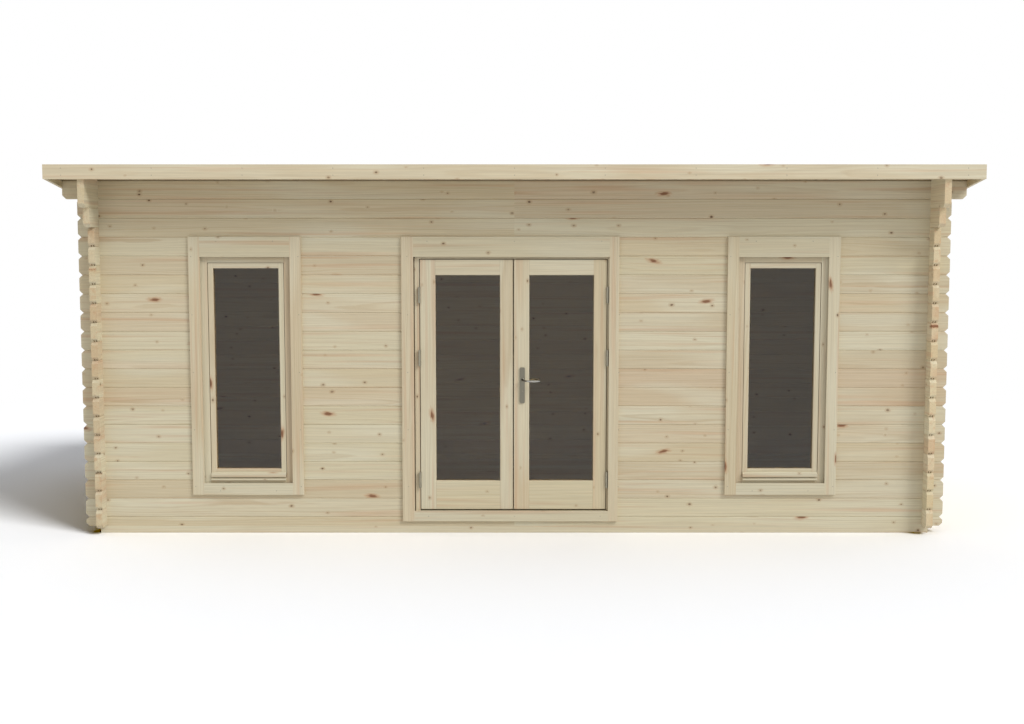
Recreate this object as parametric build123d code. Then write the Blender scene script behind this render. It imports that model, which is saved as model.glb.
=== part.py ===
from build123d import *
import math
import os

# A garden office of interlocking logs under a single-pitch roof that falls to the back.
# Millimetres. Origin on the ground under the middle of the roof, +X to the right,
# +Y to the back, +Z up.

# Log walls
log_thickness = 45.0
log_height = 130.0
wall_length = 6000.0        # front and back logs, end to end
wall_depth = 3000.0         # side logs, end to end
log_overhang = 100.0        # what a log end stands past the wall it crosses
end_chamfer = 22.0          # corner taken off each log end, top and bottom
joint_chamfer = 4.5         # bevel along both edges of a log, which makes the V joint
front_courses = 17          # full logs between the half log and the top log
back_courses = 14
side_courses = 16
top_log_reach = 100.0       # the top logs and purlins reach past the log ends, to the barge boards
top_log_chamfer = 25.0

# Foundation and floor
bearer_height = 48.0
bearer_width = 70.0
bearer_gap = 1.0
joist_width = 45.0
joist_count = 11
floor_thickness = 19.0

# Roof
roof_angle = 7.8
deck_thickness = 19.0
felt_thickness = 3.0
fascia_thickness = 20.0
fascia_height = 97.0
fascia_upstand = 25.0       # the fascia stands this far above the felt
corbel_upper = 287.0        # reach of the top side log past the front wall
corbel_lower = 190.0
corbel_chamfer = 25.0
eave_back = 185.0           # reach of the deck past the back wall
purlin_width = 45.0
purlin_height = 120.0
purlin_count = 2

# Doorway
door_left_edge = -651.0     # hinge edge of the left leaf
leaf_width = 640.0
leaf_bottom = 168.0
leaf_height = 1741.0
leaf_thickness = 44.0
leaf_gap = 8.0              # between the two meeting stiles
door_clearance = 5.5        # round the leaves
hinge_stile = 106.0         # left stile of each leaf
lock_stile = 89.0
top_rail = 107.0
bottom_rail = 200.0
frame_face = 6.0            # the door frame lies this far behind the log face
frame_back = 65.0
jamb_width = 32.5
jamb_gap = 7.0              # between the jambs and the logs
head_depth = 38.5
threshold_height = 43.0
stop_lap = 14.5
head_gap = 7.0              # settling room over a frame

# Windows
window_centre = 1855.0
window_bottom = 345.0
window_frame_width = 658.0
window_frame_height = 1608.0
window_member = 64.5
window_sill_member = 46.0
window_face = 10.0
window_side_gap = 3.0
sash_gap = 3.5
sash_setback = 2.0
sash_thickness = 45.0
sash_member = 36.0
sash_bottom_rail = 56.5
sash_stop_lap = 12.0
weather_bar_height = 32.0
weather_bar_reach = 18.0
drip_height = 15.0
drip_reach = 18.0

# Glass
glass_thickness = 4.0
glass_groove = 10.0
glass_edge_gap = 2.0
glass_setback = 19.0
sight_chamfer = 4.0

# Trims
trim_thickness = 20.0
trim_width = 78.0
trim_head_height = 139.0
trim_head_lap = 25.5        # lap of a head trim over its frame
trim_sill_height = 81.0
trim_lap = 20.0             # lap of a window trim over its frame
trim_sill_lap = 8.0
door_trim_left = 83.0
door_trim_right = 68.0
door_trim_sill = 72.0
door_trim_reveal = 2.5      # between the right hinge barrels and their trim

# Hinges and handle
hinge_heights = (375.0, 1229.0, 1665.0)
hinge_length = 112.0
barrel_radius = 7.5
barrel_offset = 7.0         # from the leaf's edge out to the pin
barrel_standoff = 9.0       # from the leaf's face out to the pin
pin_radius = 3.5
pin_clearance = 0.4
bar_sides = 16              # flat sides that a hinge barrel or pin is drawn with
knuckle_gap = 1.0
flap_thickness = 2.5
flap_depth = 30.0
plate_width = 36.0
plate_height = 249.0
plate_thickness = 8.0
plate_corner = 10.0
plate_bottom = 915.0
plate_from_edge = 58.0      # from the right leaf's meeting edge to the plate's middle
lever_height = 1078.0
lever_length = 132.0
lever_depth = 15.0
lever_thickness = 10.0
lever_waist = 0.6           # the lever's narrowest width, as a share of its widest
lever_standoff = 36.0
neck_radius = 9.0
neck_gap = 0.3
spindle_size = 8.0
spindle_bore = 7.0

spare = 1.0                 # a cutter reaches this far past what it cuts

# Places worked out from the sizes
top_log_length = wall_length + 2 * top_log_reach
half_log = log_height / 2
quarter_log = log_height / 4
roof_slope = math.tan(math.radians(roof_angle))
roof_run = corbel_upper + fascia_thickness + wall_depth - 2 * log_overhang + eave_back + fascia_thickness
front_y = -roof_run / 2 + fascia_thickness + corbel_upper
back_y = front_y + wall_depth - 2 * log_overhang
front_inner = front_y + log_thickness
back_inner = back_y - log_thickness
side_x = wall_length / 2 - log_overhang
side_inner = side_x - log_thickness
front_joints = [bearer_height + half_log + log_height * i for i in range(front_courses + 1)]
side_joints = [bearer_height + log_height * i for i in range(side_courses + 1)]
corbel_joints = [side_joints[-1], side_joints[-1] + log_height]
front_top_z = front_joints[-1]
back_top_z = front_joints[back_courses]
roof_z = front_top_z + log_height
deck_front = front_y - corbel_upper
deck_back = back_y + eave_back
floor_top = bearer_height + floor_thickness

leaf_top = leaf_bottom + leaf_height
left_leaf_x = door_left_edge
right_leaf_x = door_left_edge + leaf_width + leaf_gap
door_right_edge = right_leaf_x + leaf_width
jamb_left_x = door_left_edge - door_clearance
jamb_right_x = door_right_edge + door_clearance
opening_left = jamb_left_x - jamb_width - jamb_gap
opening_right = jamb_right_x + jamb_width + jamb_gap
opening_bottom = front_joints[0]
threshold_top = opening_bottom + threshold_height
head_bottom = leaf_top + door_clearance
head_top = head_bottom + head_depth
opening_top = head_top + head_gap
door_trim_top = head_top - trim_head_lap + trim_head_height
window_frame_top = window_bottom + window_frame_height
window_trim_top = window_frame_top - trim_head_lap + trim_head_height


def block(x0, x1, y0, y1, z0, z1):
    return Pos((x0 + x1) / 2, (y0 + y1) / 2, (z0 + z1) / 2) * Box(x1 - x0, y1 - y0, z1 - z0)


def across_y(points, y0, y1):
    # an outline in X and Z, carried from y0 to y1
    face = Pos(0, y0, 0) * (Plane.XZ * make_face(Polyline(*points, close=True)))
    return extrude(face, amount=y1 - y0, dir=(0, 1, 0))


def across_x(points, x0, x1):
    # an outline in Y and Z, carried from x0 to x1
    face = Pos(x0, 0, 0) * (Plane.YZ * make_face(Polyline(*points, close=True)))
    return extrude(face, amount=x1 - x0, dir=(1, 0, 0))


def mirrored(shape):
    return mirror(shape, about=Plane.YZ)


def roof_under(y):
    # height of the roof boards' underside over a point of the plan
    return roof_z - (y - front_y) * roof_slope


def end_points(u, levels, inward):
    # one end of a stack of logs, from the lowest level to the highest, corners off
    points = [(u + inward * end_chamfer, levels[0])]
    for low, high in zip(levels[:-1], levels[1:]):
        points.append((u, low + end_chamfer))
        points.append((u, high - end_chamfer))
        points.append((u + inward * end_chamfer, high))
    return points


def plain_end(u, levels):
    return [(u, levels[0]), (u, levels[-1])]


def joint_cuts(levels, face_a, face_b, start, end, along_x):
    # V grooves along the joints, on both faces of a wall
    cuts = []
    reach = joint_chamfer + spare
    for level in levels:
        for face, side in ((face_a, 1), (face_b, -1)):
            outside = face - side * spare
            points = [(outside, level - reach), (face + side * joint_chamfer, level), (outside, level + reach)]
            if along_x:
                cuts.append(across_x(points, start, end))
            else:
                cuts.append(across_y(points, start, end))
    return cuts


def crossing_bands(joints, top):
    # where the logs with these joints keep their middle half in a crossing
    return [(z + quarter_log, z + quarter_log + half_log) for z in joints if z + quarter_log < top]


# Logs of the front and back walls give way to the side logs in the crossings
side_bands = crossing_bands(side_joints + corbel_joints[1:], front_top_z)
cross_bands = [(bearer_height, bearer_height + quarter_log)] + crossing_bands(front_joints[:-1], front_top_z)


def crossing_cuts_front(y0, y1, x_from):
    cuts = []
    for low, high in side_bands:
        cuts.append(block(x_from, x_from + log_thickness, y0 - spare, y1 + spare, low, high))
    return cuts


def front_wall_side(x_door, x_end, inward):
    levels = [bearer_height] + front_joints
    outline = end_points(x_end, levels, inward) + plain_end(x_door, levels)[::-1]
    wall = across_y(outline, front_y, front_inner)
    column = side_inner if x_end > 0 else -side_x
    centre = math.copysign(window_centre, x_end)
    half = window_frame_width / 2 + window_side_gap
    hole_top = window_frame_top + head_gap
    cuts = crossing_cuts_front(front_y, front_inner, column)
    cuts += joint_cuts(front_joints, front_y, front_inner, -wall_length, wall_length, True)
    y0 = front_y - spare
    y1 = front_inner + spare
    cuts.append(block(centre - half, centre + half, y0, y1, window_bottom, hole_top))
    return wall - cuts


def front_wall_part(z0, z1):
    wall = block(opening_left, opening_right, front_y, front_inner, z0, z1)
    levels = [z for z in front_joints if z0 < z <= z1]
    start = opening_left - spare
    end = opening_right + spare
    return wall - joint_cuts(levels, front_y, front_inner, start, end, True)


def back_wall():
    levels = [bearer_height] + front_joints[:back_courses + 1]
    outline = end_points(-wall_length / 2, levels, 1) + end_points(wall_length / 2, levels, -1)[::-1]
    wall = across_y(outline, back_inner, back_y)
    cuts = joint_cuts(front_joints[:back_courses + 1], back_inner, back_y, -wall_length, wall_length, True)
    for low, high in side_bands:
        if low < back_top_z:
            for column in (-side_x, side_inner):
                far = column + log_thickness
                cuts.append(block(column, far, back_inner - spare, back_y + spare, low, high))
    return wall - cuts


def top_log(y0, y1, bottom):
    # a top log: long, its top planed to the roof, its lower quarter notched over the side logs
    half = top_log_length / 2
    bevel = [(-half + top_log_chamfer, bottom), (half - top_log_chamfer, bottom), (half, bottom + top_log_chamfer),
             (half, roof_z), (-half, roof_z), (-half, bottom + top_log_chamfer)]
    log = across_y(bevel, y0, y1)
    cuts = [over_roof()]
    for column in (-side_x, side_inner):
        notch_top = bottom + quarter_log
        cuts.append(block(column, column + log_thickness, y0 - spare, y1 + spare, bottom - spare, notch_top))
    cuts += joint_cuts([bottom], y0, y1, -half - spare, half + spare, True)
    return log - cuts


def over_roof():
    # all that lies over the roof boards' underside
    y0 = deck_front - log_height
    y1 = deck_back + log_height
    points = [(y0, roof_under(y0)), (y1, roof_under(y1)), (y1, roof_z + wall_depth), (y0, roof_z + wall_depth)]
    return across_x(points, -wall_length, wall_length)


def purlin_places():
    step = (wall_depth - 2 * log_overhang) / (purlin_count + 1)
    return [front_y + step * (i + 1) for i in range(purlin_count)]


def purlin(y):
    half = top_log_length / 2
    y0 = y - purlin_width / 2
    y1 = y + purlin_width / 2
    bottom = roof_under(y) - purlin_height
    return across_x([(y0, bottom), (y1, bottom), (y1, roof_under(y1)), (y0, roof_under(y0))], -half, half)


def side_crossings(x0, x1):
    # notches in the side logs for the front and back logs
    cuts = []
    for low, high in cross_bands:
        cuts.append(block(x0 - spare, x1 + spare, front_y, front_inner, low, high))
        if low < back_top_z:
            cuts.append(block(x0 - spare, x1 + spare, back_inner, back_y, low, high))
    front_notch = front_top_z + quarter_log
    back_notch = back_top_z + quarter_log
    cuts.append(block(x0 - spare, x1 + spare, front_y, front_inner, front_notch, roof_z + log_height))
    cuts.append(block(x0 - spare, x1 + spare, back_inner, back_y, back_notch, roof_z))
    return cuts


def left_side_cuts():
    x0, x1 = -side_x, -side_inner
    return side_crossings(x0, x1) + [purlin(y) for y in purlin_places()] + [over_roof()]


def side_wall_left():
    x0, x1 = -side_x, -side_inner
    levels = side_joints
    front_end = front_y - log_overhang
    back_end = back_y + log_overhang
    outline = end_points(front_end, levels, 1) + end_points(back_end, levels, -1)[::-1]
    wall = across_x(outline, x0, x1)
    cuts = left_side_cuts() + joint_cuts(side_joints, x0, x1, front_end - spare, back_end + spare, False)
    return wall - cuts


def corbel_log_left(bottom, height, reach):
    # a top side log that carries the front eave: plumb nose, lower corner taken off
    x0, x1 = -side_x, -side_inner
    nose = front_y - reach
    tail = back_y
    outline = [(nose + corbel_chamfer, bottom), (tail, bottom), (tail, bottom + height),
               (nose, bottom + height), (nose, bottom + corbel_chamfer)]
    log = across_x(outline, x0, x1)
    levels = [bottom, bottom + height]
    cuts = left_side_cuts() + joint_cuts(levels, x0, x1, nose - spare, tail + spare, False)
    return log - cuts


def frame_ring(x0, x1, z0, z1, y0, y1, hole):
    left, right, low, high = hole
    return block(x0, x1, y0, y1, z0, z1) - block(left, right, y0 - spare, y1 + spare, low, high)


def glazed_panel(x0, x1, z0, z1, y0, thickness, members):
    # stiles and rails round a pane, with a groove for the glass and a bevel to the weather
    left, right, low, high = members
    hole = (x0 + left, x1 - right, z0 + low, z1 - high)
    panel = frame_ring(x0, x1, z0, z1, y0, y0 + thickness, hole)
    glass_y = y0 + glass_setback
    groove = block(hole[0] - glass_groove, hole[1] + glass_groove, glass_y, glass_y + glass_thickness,
                   hole[2] - glass_groove, hole[3] + glass_groove)
    c = sight_chamfer
    outer = Pos(0, y0, 0) * (Plane.XZ * rectangle_face(hole[0] - c, hole[1] + c, hole[2] - c, hole[3] + c))
    inner = Pos(0, y0 + c, 0) * (Plane.XZ * rectangle_face(*hole))
    bevel = loft([outer, inner])
    lap = glass_groove - glass_edge_gap
    pane = block(hole[0] - lap, hole[1] + lap, glass_y, glass_y + glass_thickness, hole[2] - lap, hole[3] + lap)
    return panel - groove - bevel, pane


def rectangle_face(x0, x1, z0, z1):
    return make_face(Polyline((x0, z0), (x1, z0), (x1, z1), (x0, z1), close=True))


def door_leaf(x0):
    members = (hinge_stile, lock_stile, bottom_rail, top_rail)
    return glazed_panel(x0, x0 + leaf_width, leaf_bottom, leaf_top, front_y, leaf_thickness, members)


def upright_bar(x, y, z0, z1, radius):
    # a small round bar, drawn with flat sides whose corners lie on the radius
    return Pos(x, y, z0) * extrude(RegularPolygon(radius, bar_sides), amount=z1 - z0)


def hinge_set(edge, side):
    # three hinges on one edge: side is +1 where the leaf lies to the right of its pin
    pin_x = edge - side * barrel_offset
    pin_y = front_y - barrel_standoff
    third = hinge_length / 3
    moving = []
    fixed = []
    leaf_cuts = []
    jamb_cuts = []
    for height in hinge_heights:
        low = height - hinge_length / 2
        mid_low = low + third
        mid_high = mid_low + third
        high = low + hinge_length
        flap_in = sorted((edge, edge + side * flap_thickness))
        leaf_cut = block(*flap_in, front_y, front_y + flap_depth, low, high)
        leaf_tab = block(*flap_in, pin_y, front_y + flap_depth, mid_low + knuckle_gap, mid_high - knuckle_gap)
        barrel = upright_bar(pin_x, pin_y, mid_low + knuckle_gap, mid_high - knuckle_gap, barrel_radius)
        bore = upright_bar(pin_x, pin_y, low, high, pin_radius + pin_clearance)
        moving.append(barrel + leaf_tab + leaf_cut - bore)
        leaf_cuts.append(leaf_cut)
        jamb_edge = edge - side * door_clearance
        flap_out = sorted((jamb_edge, jamb_edge - side * flap_thickness))
        jamb_y = front_y + frame_face
        jamb_cut = block(*flap_out, jamb_y, jamb_y + flap_depth, low, high)
        plate = upright_bar(pin_x, pin_y, low, high, pin_radius) + jamb_cut
        for z0, z1 in ((low, mid_low), (mid_high, high)):
            plate = plate + upright_bar(pin_x, pin_y, z0, z1, barrel_radius)
            plate = plate + block(*flap_out, pin_y, jamb_y, z0, z1)
        fixed.append(plate)
        jamb_cuts.append(jamb_cut)
    return moving, fixed, leaf_cuts, jamb_cuts


def door_jamb(side, cuts):
    # a jamb with the stop that the leaf closes against
    y0 = front_y + frame_face
    y1 = front_y + frame_back
    stop_y = front_y + leaf_thickness + door_clearance
    if side < 0:
        post = block(jamb_left_x - jamb_width, jamb_left_x, y0, y1, threshold_top, head_bottom)
        stop = block(jamb_left_x, jamb_left_x + stop_lap, stop_y, y1, threshold_top, head_bottom)
    else:
        post = block(jamb_right_x, jamb_right_x + jamb_width, y0, y1, threshold_top, head_bottom)
        stop = block(jamb_right_x - stop_lap, jamb_right_x, stop_y, y1, threshold_top, head_bottom)
    return post + stop - cuts


def door_head():
    y0 = front_y + frame_face
    y1 = front_y + frame_back
    stop_y = front_y + leaf_thickness + door_clearance
    x0 = jamb_left_x - jamb_width
    x1 = jamb_right_x + jamb_width
    head = block(x0, x1, y0, y1, head_bottom, head_top)
    inset = stop_lap
    return head + block(jamb_left_x + inset, jamb_right_x - inset, stop_y, y1, head_bottom - stop_lap, head_bottom)


def door_threshold():
    y0 = front_y
    y1 = front_y + frame_back
    stop_y = front_y + leaf_thickness + door_clearance
    x0 = jamb_left_x - jamb_width
    x1 = jamb_right_x + jamb_width
    sill = block(x0, x1, y0, y1, opening_bottom, threshold_top)
    inset = stop_lap
    stop_top = leaf_bottom + door_clearance
    return sill + block(jamb_left_x + inset, jamb_right_x - inset, stop_y, y1, threshold_top, stop_top)


def window_parts(centre):
    x0 = centre - window_frame_width / 2
    x1 = centre + window_frame_width / 2
    z0 = window_bottom
    z1 = window_bottom + window_frame_height
    y0 = front_y + window_face
    y1 = front_y + frame_back
    hole = (x0 + window_member, x1 - window_member, z0 + window_sill_member, z1 - window_member)
    sash_y = y0 + sash_setback
    sash_back = sash_y + sash_thickness
    frame = frame_ring(x0, x1, z0, z1, y0, y1, hole)
    lap = sash_stop_lap
    lip_hole = (hole[0] + lap, hole[1] - lap, hole[2] + lap, hole[3] - lap)
    lip = frame_ring(hole[0], hole[1], hole[2], hole[3], sash_back, y1, lip_hole)
    g = sash_gap
    members = (sash_member, sash_member, sash_bottom_rail, sash_member)
    sash, pane = glazed_panel(hole[0] + g, hole[1] - g, hole[2] + g, hole[3] - g, sash_y, sash_thickness, members)
    bar_z = hole[2] + g + 1
    bar_top = bar_z + weather_bar_height
    bar = across_x([(sash_y, bar_z), (sash_y, bar_top), (sash_y - weather_bar_reach / 3, bar_top),
                    (sash_y - weather_bar_reach, bar_top - weather_bar_height / 3),
                    (sash_y - weather_bar_reach, bar_z)], hole[0] + g, hole[1] - g)
    drip_top = hole[2] - g
    drip = across_x([(y0, drip_top - drip_height), (y0, drip_top), (y0 - drip_reach, drip_top - drip_height / 3),
                     (y0 - drip_reach, drip_top - drip_height)], hole[0] + g, hole[1] - g)
    return frame + lip, sash, pane, bar, drip


def outside_board(x0, x1, z0, z1):
    return block(x0, x1, front_y - trim_thickness, front_y, z0, z1)


def inside_board(x0, x1, z0, z1):
    return block(x0, x1, front_inner, front_inner + trim_thickness, z0, z1)


def handle_plate(y0):
    x = right_leaf_x + plate_from_edge
    z = plate_bottom + plate_height / 2
    face = Pos(x, y0, z) * (Plane.XZ * RectangleRounded(plate_width, plate_height, plate_corner))
    plate = extrude(face, amount=plate_thickness, dir=(0, 1, 0))
    return plate - handle_bore(x)


def handle_bore(x):
    return Pos(x, front_y, lever_height) * (Rot(90, 0, 0) * Cylinder(spindle_bore, 4 * leaf_thickness))


def lever_side(x, plate_face, outward):
    # a lever arm on a round neck; outward is -1 outside and +1 inside
    neck_start = plate_face + outward * neck_gap
    neck_end = plate_face + outward * lever_standoff
    circle = Pos(x, neck_start, lever_height) * (Plane.XZ * Circle(neck_radius))
    neck = extrude(circle, amount=abs(neck_end - neck_start), dir=(0, outward, 0))
    root = x - lever_depth / 2
    tip = root + lever_length
    half = lever_depth / 2
    waist = half * lever_waist
    outline = [(root, -waist), (root + half, -half), (x + lever_depth, -waist), (tip - 2 * lever_depth, -half),
               (tip - half, -waist), (tip, 0), (tip - half, waist), (tip - 2 * lever_depth, half),
               (x + lever_depth, waist), (root + half, half), (root, waist)]
    points = [(px, lever_height + pz) for px, pz in outline]
    face = Pos(0, neck_end, 0) * (Plane.XZ * make_face(Polyline(*points, close=True)))
    arm = extrude(face, amount=lever_thickness, dir=(0, outward, 0))
    front = arm.faces().sort_by(Axis.Y)[0 if outward < 0 else -1]
    return neck + chamfer(front.edges(), lever_thickness / 3)


def door_lever():
    x = right_leaf_x + plate_from_edge
    outer_face = front_y - plate_thickness
    inner_face = front_y + leaf_thickness + plate_thickness
    spindle = block(x - spindle_size / 2, x + spindle_size / 2, outer_face - lever_standoff,
                    inner_face + lever_standoff, lever_height - spindle_size / 2, lever_height + spindle_size / 2)
    return lever_side(x, outer_face, -1) + spindle + lever_side(x, inner_face, 1)


def roof_slab(y0, y1, x0, x1, lift, thickness):
    # a slab that lies along the roof's slope, its edges plumb
    rise = thickness / math.cos(math.radians(roof_angle))
    points = [(y0, roof_under(y0) + lift), (y1, roof_under(y1) + lift),
              (y1, roof_under(y1) + lift + rise), (y0, roof_under(y0) + lift + rise)]
    return across_x(points, x0, x1)


def export(name, shapes):
    solids = shapes if isinstance(shapes, list) else [shapes]
    solids = [solid for shape in solids for solid in shape.solids()]
    body = solids[0] if len(solids) == 1 else Compound(children=solids)
    export_step(body, f"parts/{name}.step")


os.makedirs("parts", exist_ok=True)

# Foundation and floor
inner_y0 = front_y + bearer_width + bearer_gap
inner_y1 = back_y - bearer_width - bearer_gap
bearers = [
    block(-side_x, side_x, front_y, front_y + bearer_width, 0, bearer_height),
    block(-side_x, side_x, back_y - bearer_width, back_y, 0, bearer_height),
    block(-side_x, -side_x + bearer_width, inner_y0, inner_y1, 0, bearer_height),
    block(side_x - bearer_width, side_x, inner_y0, inner_y1, 0, bearer_height),
]
export("foundation_bearers", bearers)
joist_step = 2 * (side_x - bearer_width) / (joist_count + 1)
joists = []
for i in range(joist_count):
    x = -side_x + bearer_width + joist_step * (i + 1)
    joists.append(block(x - joist_width / 2, x + joist_width / 2, inner_y0, inner_y1, 0, bearer_height))
export("floor_joists", joists)
export("floor_boards", block(-side_inner, side_inner, front_inner, back_inner, bearer_height, floor_top))

# Walls
export("front_wall_left", front_wall_side(opening_left, -wall_length / 2, 1))
export("front_wall_right", front_wall_side(opening_right, wall_length / 2, -1))
export("front_wall_over_door", front_wall_part(opening_top, front_top_z))
export("front_wall_under_door", front_wall_part(bearer_height, opening_bottom))
export("front_top_log", top_log(front_y, front_inner, front_top_z))
export("back_wall", back_wall())
export("back_top_log", top_log(back_inner, back_y, back_top_z))
side_left = side_wall_left()
lower_log = corbel_log_left(corbel_joints[0], log_height, corbel_lower)
upper_log = corbel_log_left(corbel_joints[1], 2 * log_height, corbel_upper)
export("side_wall_left", side_left)
export("side_wall_right", mirrored(side_left))
export("lower_corbel_log_left", lower_log)
export("lower_corbel_log_right", mirrored(lower_log))
export("upper_corbel_log_left", upper_log)
export("upper_corbel_log_right", mirrored(upper_log))

# Roof
roof_half = top_log_length / 2
deck_rise = deck_thickness / math.cos(math.radians(roof_angle))
felt_rise = felt_thickness / math.cos(math.radians(roof_angle))
board_lift = deck_rise + felt_rise + fascia_upstand - fascia_height
export("roof_purlins", [purlin(y) for y in purlin_places()])
export("roof_deck", roof_slab(deck_front, deck_back, -roof_half, roof_half, 0, deck_thickness))
export("roof_felt", roof_slab(deck_front, deck_back, -roof_half, roof_half, deck_rise, felt_thickness))
fascia_low = roof_under(deck_front) + board_lift
outer_x = roof_half + fascia_thickness
export("fascia_front", block(-outer_x, outer_x, deck_front - fascia_thickness, deck_front,
                             fascia_low, fascia_low + fascia_height))
back_low = roof_under(deck_back) + board_lift
export("fascia_back", block(-outer_x, outer_x, deck_back, deck_back + fascia_thickness,
                            back_low, back_low + fascia_height))
plumb_height = fascia_height * math.cos(math.radians(roof_angle))
barge = roof_slab(deck_front, deck_back, -outer_x, -roof_half, board_lift, plumb_height)
export("barge_board_left", barge)
export("barge_board_right", mirrored(barge))

# Doorway
left_moving, left_fixed, left_leaf_cuts, left_jamb_cuts = hinge_set(door_left_edge, 1)
right_moving, right_fixed, right_leaf_cuts, right_jamb_cuts = hinge_set(door_right_edge, -1)
leaf_left, pane_left = door_leaf(left_leaf_x)
leaf_right, pane_right = door_leaf(right_leaf_x)
handle_x = right_leaf_x + plate_from_edge
export("door_leaf_left", leaf_left - left_leaf_cuts)
export("door_leaf_right", leaf_right - right_leaf_cuts - handle_bore(handle_x))
export("door_glass_left", pane_left)
export("door_glass_right", pane_right)
export("leaf_hinges_left", left_moving)
export("leaf_hinges_right", right_moving)
export("frame_hinges_left", left_fixed)
export("frame_hinges_right", right_fixed)
export("door_jambs", [door_jamb(-1, left_jamb_cuts), door_jamb(1, right_jamb_cuts)])
export("door_head", door_head())
export("door_threshold", door_threshold())
trim_left_inner = opening_left
trim_right_inner = door_right_edge + barrel_offset + barrel_radius + door_trim_reveal
trim_low = threshold_top - door_trim_sill
frame_left = jamb_left_x - jamb_width
frame_right = jamb_right_x + jamb_width
export("door_trim_sides", [
    outside_board(trim_left_inner - door_trim_left, trim_left_inner, trim_low, door_trim_top),
    outside_board(trim_right_inner, trim_right_inner + door_trim_right, trim_low, door_trim_top),
    inside_board(frame_left - door_trim_left, frame_left, floor_top, door_trim_top),
    inside_board(frame_right, frame_right + door_trim_left, floor_top, door_trim_top),
])
export("door_trim_head", [
    outside_board(trim_left_inner, trim_right_inner, head_top - trim_head_lap, door_trim_top),
    inside_board(frame_left, frame_right, head_top, door_trim_top),
])
export("door_trim_sill", outside_board(trim_left_inner, trim_right_inner, trim_low, threshold_top))
export("handle_plates", [handle_plate(front_y - plate_thickness), handle_plate(front_y + leaf_thickness)])
export("door_lever", door_lever())

# Windows
frames = []
sashes = []
panes = []
bars = []
trim_sides = []
trim_heads = []
trim_sills = []
for centre in (-window_centre, window_centre):
    frame, sash, pane, bar, drip = window_parts(centre)
    frames.append(frame)
    sashes.append(sash)
    panes.append(pane)
    bars += [bar, drip]
    reveal_low = window_bottom + trim_sill_lap
    trim_foot = reveal_low - trim_sill_height
    frame_half = window_frame_width / 2
    inner = frame_half - trim_lap
    for side in (-1, 1):
        near, far = sorted((centre + side * inner, centre + side * (inner + trim_width)))
        trim_sides.append(outside_board(near, far, trim_foot, window_trim_top))
        near, far = sorted((centre + side * frame_half, centre + side * (frame_half + trim_width)))
        trim_sides.append(inside_board(near, far, window_bottom - trim_sill_height, window_trim_top))
    head_low = window_frame_top - trim_head_lap
    trim_heads.append(outside_board(centre - inner, centre + inner, head_low, window_trim_top))
    trim_heads.append(inside_board(centre - frame_half, centre + frame_half, window_frame_top, window_trim_top))
    trim_sills.append(outside_board(centre - inner, centre + inner, trim_foot, reveal_low))
    trim_sills.append(inside_board(centre - frame_half, centre + frame_half,
                                   window_bottom - trim_sill_height, window_bottom))
export("window_frames", frames)
export("window_sashes", sashes)
export("window_glass", panes)
export("window_weather_bars", bars)
export("window_trim_sides", trim_sides)
export("window_trim_heads", trim_heads)
export("window_trim_sills", trim_sills)
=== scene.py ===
import math

import bmesh
import bpy
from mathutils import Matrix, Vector


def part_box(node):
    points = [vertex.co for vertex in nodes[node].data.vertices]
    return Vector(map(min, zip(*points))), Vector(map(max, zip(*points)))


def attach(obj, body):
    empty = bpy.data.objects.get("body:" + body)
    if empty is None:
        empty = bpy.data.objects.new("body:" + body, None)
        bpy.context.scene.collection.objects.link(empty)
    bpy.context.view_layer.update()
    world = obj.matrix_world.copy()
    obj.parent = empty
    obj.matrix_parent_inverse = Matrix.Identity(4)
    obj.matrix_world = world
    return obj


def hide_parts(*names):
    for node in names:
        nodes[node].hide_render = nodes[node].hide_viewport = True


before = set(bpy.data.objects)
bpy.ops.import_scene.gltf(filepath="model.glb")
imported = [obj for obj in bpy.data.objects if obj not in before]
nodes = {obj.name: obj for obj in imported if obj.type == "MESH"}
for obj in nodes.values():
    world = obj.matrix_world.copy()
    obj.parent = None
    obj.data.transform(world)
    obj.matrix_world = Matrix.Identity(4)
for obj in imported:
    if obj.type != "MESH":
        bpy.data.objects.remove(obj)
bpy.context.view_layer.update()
roofSlope = 0.13698  # the roof falls to the back by this much in a metre
wallFace = -1.349  # front face of the front wall
print("frame loaded,", len(nodes), "nodes")


# small helpers, for node trees, colours and meshes


def hexColour(text):
    # sRGB hex to the linear values that shaders take
    parts = [int(text[i : i + 2], 16) / 255 for i in (1, 3, 5)]
    linear = [p / 12.92 if p <= 0.04045 else ((p + 0.055) / 1.055) ** 2.4 for p in parts]
    return (*linear, 1.0)


def addNode(tree, kind, settings=None, links=None):
    # settings are the node's own options, links take another node, one of its sockets or a plain value
    node = tree.nodes.new(kind)
    for option, value in (settings or {}).items():
        setattr(node, option, value)
    for socket, source in (links or {}).items():
        if isinstance(source, bpy.types.Node):
            source = source.outputs[0]
        if isinstance(source, bpy.types.NodeSocket):
            tree.links.new(source, node.inputs[socket])
        else:
            node.inputs[socket].default_value = source
    return node


# kinds of node and settings that come up again and again
maths, vectors, ranges = "ShaderNodeMath", "ShaderNodeVectorMath", "ShaderNodeMapRange"
noise, mixer = "ShaderNodeTexNoise", "ShaderNodeMix"
splitter, joiner = "ShaderNodeSeparateXYZ", "ShaderNodeCombineXYZ"
plus, minus, times, over = ({"operation": name} for name in ("ADD", "SUBTRACT", "MULTIPLY", "DIVIDE"))
timesPlus, scaled, howLong = ({"operation": name} for name in ("MULTIPLY_ADD", "SCALE", "LENGTH"))
unsigned, larger, moreThan = ({"operation": name} for name in ("ABSOLUTE", "MAXIMUM", "GREATER_THAN"))
eased, inColour = {"interpolation_type": "SMOOTHSTEP"}, {"data_type": "RGBA"}


def addSockets(tree, side, sockets):
    for label, kind in sockets.items():
        tree.interface.new_socket(label, in_out=side, socket_type=f"NodeSocket{kind}")


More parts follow.
